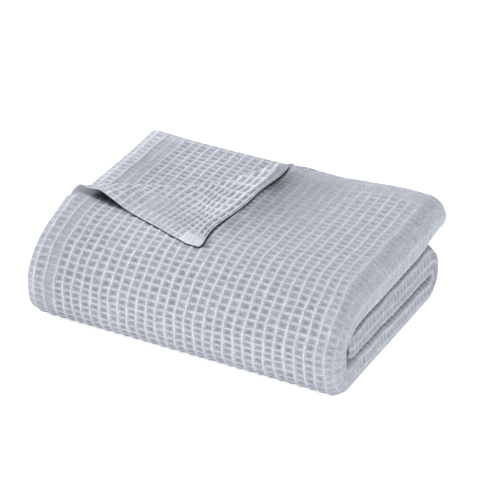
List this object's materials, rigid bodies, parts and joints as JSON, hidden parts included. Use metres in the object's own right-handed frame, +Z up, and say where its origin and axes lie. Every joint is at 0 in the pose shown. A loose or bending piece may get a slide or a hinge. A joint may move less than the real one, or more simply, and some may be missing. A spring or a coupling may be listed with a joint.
{
  "type": "folded waffle weave cotton blanket",
  "caption": "Cotton waffle weave blanket folded into a thick rectangular pad round a rounded front edge, with one corner of the top ply turned back.",
  "frame": {"origin": "middle of the underside that rests on the surface, at the centre of the bounding box in plan", "axes": "+X along the rounded front edge from the end with the hems to the end with the folds, +Y from the front edge to the rear edge, +Z up"},
  "size_m": [0.3331, 0.2516, 0.1078],
  "materials": {
    "cotton": "matt pale blue-grey waffle weave cotton"
  },
  "bodies": {
    "root": {"blanket": "cotton"}
  },
  "joints": []
}
